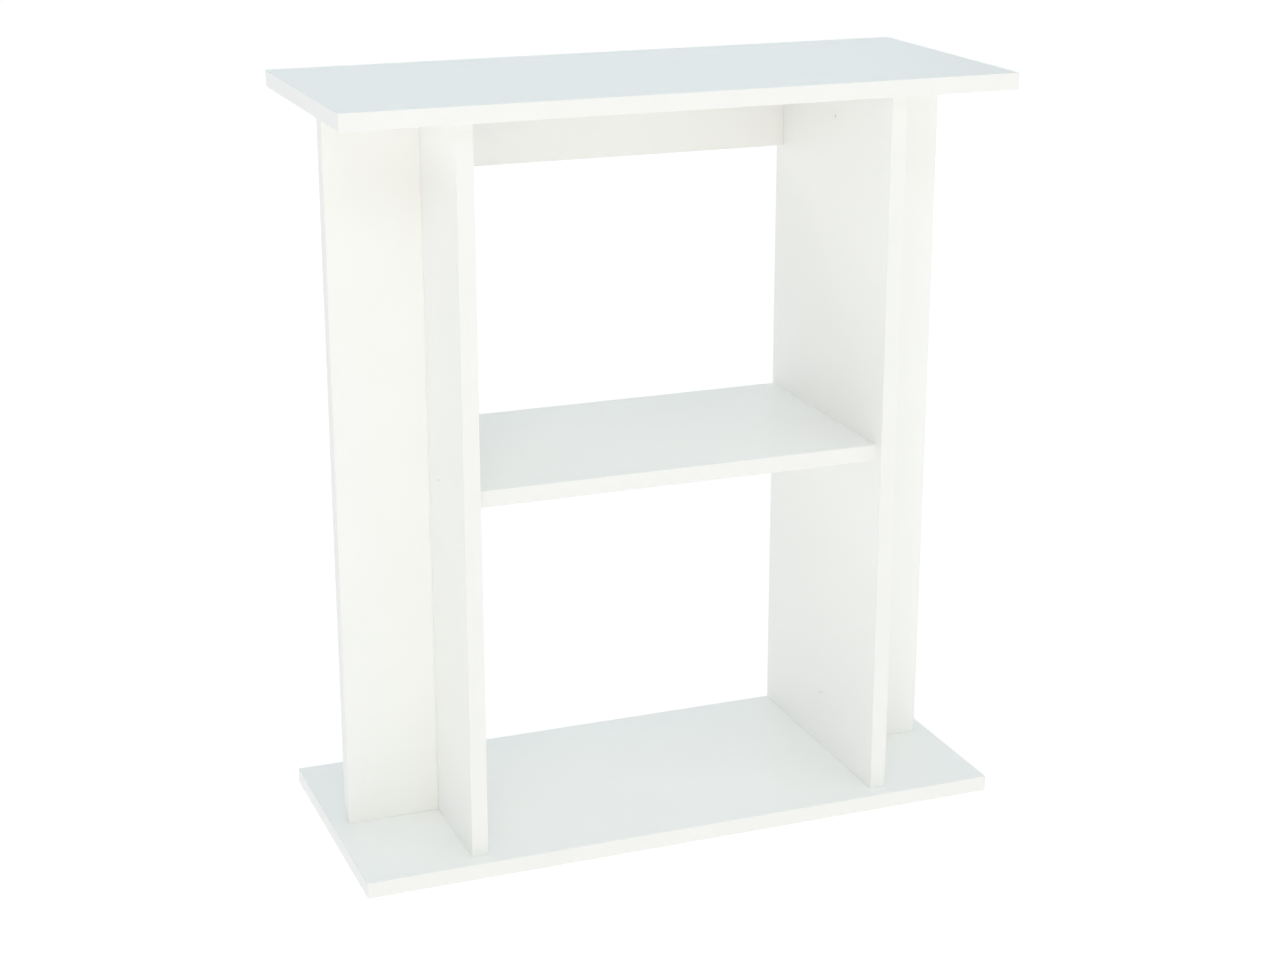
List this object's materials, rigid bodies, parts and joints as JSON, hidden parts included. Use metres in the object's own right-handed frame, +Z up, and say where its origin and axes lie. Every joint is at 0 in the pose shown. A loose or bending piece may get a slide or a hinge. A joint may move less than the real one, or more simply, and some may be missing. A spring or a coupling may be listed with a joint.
{
  "type": "aquarium stand",
  "caption": "Open aquarium stand of white faced board: top and equal base, uprights with outer wings, a fixed shelf between them and a stiffening rail at the back.",
  "frame": {"origin": "on the floor, below the middle of the stand", "axes": "+Z up, +X to the viewer's right along the width, -Y towards the open front, +Y towards the back rail"},
  "size_m": [0.65, 0.272, 0.735],
  "materials": {
    "faced_board": "white melamine facing with a faint pearl texture",
    "edging": "smooth white edging, slightly warmer than the faces",
    "screw_steel": "zinc-plated thread, white lacquered head",
    "beech": "raw, grooved",
    "bolt_steel": "bright zinc plating",
    "cam_zinc": "die-cast, dull",
    "cap_plastic": "moulded white plastic",
    "glide_plastic": "moulded, fine matt texture"
  },
  "bodies": {
    "root": {"top_panel": "faced_board", "base_panel": "faced_board", "left_upright": "faced_board", "right_upright": "faced_board", "left_wing": "faced_board", "right_wing": "faced_board", "shelf": "faced_board", "back_rail": "faced_board", "top_panel_edging": "edging", "base_panel_edging": "edging", "left_upright_edging": "edging", "right_upright_edging": "edging", "left_wing_edging": "edging", "right_wing_edging": "edging", "shelf_edging": "edging", "back_rail_edging": "edging", "wing_screws": "screw_steel", "shelf_screws": "screw_steel", "rail_screws": "screw_steel", "base_screws": "screw_steel", "wing_dowels": "beech", "shelf_dowels": "beech", "base_dowels": "beech", "top_dowels": "beech", "cam_bolts": "bolt_steel", "cam_housings": "cam_zinc", "cam_caps": "cap_plastic", "floor_glides": "glide_plastic", "glide_nails": "bolt_steel"}
  },
  "joints": []
}
